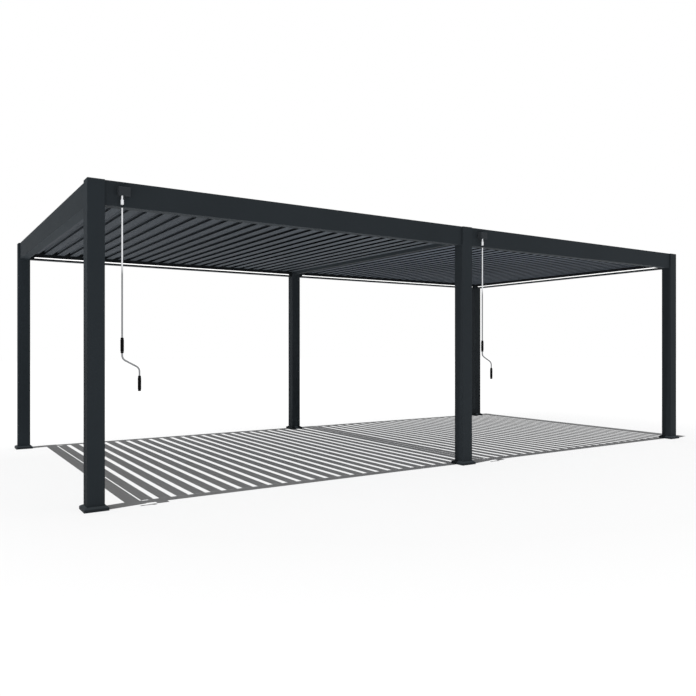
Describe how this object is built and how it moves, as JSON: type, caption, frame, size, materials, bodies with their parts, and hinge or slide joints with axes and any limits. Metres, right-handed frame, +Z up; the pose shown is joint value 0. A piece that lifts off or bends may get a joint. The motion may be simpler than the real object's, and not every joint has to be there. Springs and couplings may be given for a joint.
{
  "type": "louvred pergola",
  "caption": "Open flat-roofed pergola on square posts with flanged feet, deep beams with light strips along their inner faces, part-open louvre blades and hanging hand cranks.",
  "frame": {"origin": "on the floor, under the middle of the overall footprint, cranks and post feet included", "axes": "+X runs along the front from the left post to the right post, +Y from the front with the cranks to the back, +Z up"},
  "size_m": [7.705, 3.9638, 2.507],
  "materials": {
    "post_paint": "anthracite powder coat, satin with a fine texture",
    "beam_paint": "anthracite powder coat, satin with a fine texture",
    "blade_paint": "anthracite powder coat on extruded blades",
    "gearbox_paint": "dark satin housing",
    "light_strip": "glowing white diffuser",
    "crank_steel": "bright satin rod",
    "grip_plastic": "black moulded sleeve"
  },
  "bodies": {
    "root": {"front_left_foot": "post_paint", "front_left_post": "post_paint", "front_left_cap": "post_paint", "front_middle_foot": "post_paint", "front_middle_post": "post_paint", "front_middle_cap": "post_paint", "front_right_foot": "post_paint", "front_right_post": "post_paint", "front_right_cap": "post_paint", "back_left_foot": "post_paint", "back_left_post": "post_paint", "back_left_cap": "post_paint", "back_middle_foot": "post_paint", "back_middle_post": "post_paint", "back_middle_cap": "post_paint", "back_right_foot": "post_paint", "back_right_post": "post_paint", "back_right_cap": "post_paint", "front_beam_left": "beam_paint", "front_beam_right": "beam_paint", "back_beam_left": "beam_paint", "back_beam_right": "beam_paint", "left_beam": "beam_paint", "right_beam": "beam_paint", "middle_beam": "beam_paint", "front_light_strip_left": "light_strip", "front_light_strip_right": "light_strip", "back_light_strip_left": "light_strip", "back_light_strip_right": "light_strip", "left_light_strip": "light_strip", "right_light_strip": "light_strip", "left_louvres": "blade_paint", "right_louvres": "blade_paint", "crank_left_gearbox": "gearbox_paint", "crank_right_gearbox": "gearbox_paint"},
    "crank_left": {"crank_left_joint": "crank_steel", "crank_left_rod": "crank_steel", "crank_left_upper_grip": "grip_plastic", "crank_left_lower_grip": "grip_plastic"},
    "crank_right": {"crank_right_joint": "crank_steel", "crank_right_rod": "crank_steel", "crank_right_upper_grip": "grip_plastic", "crank_right_lower_grip": "grip_plastic"}
  },
  "joints": [
    {"name": "crank_left_turn", "type": "hinge", "parent": "root", "child": "crank_left", "pos_m": [-3.5775, -1.9686, 2.391], "axis": [0, 0, 1], "range_deg": [-180, 120]},
    {"name": "crank_right_turn", "type": "hinge", "parent": "root", "child": "crank_right", "pos_m": [0.184, -1.9686, 2.391], "axis": [0, 0, 1], "range_deg": [-180, 120]}
  ]
}
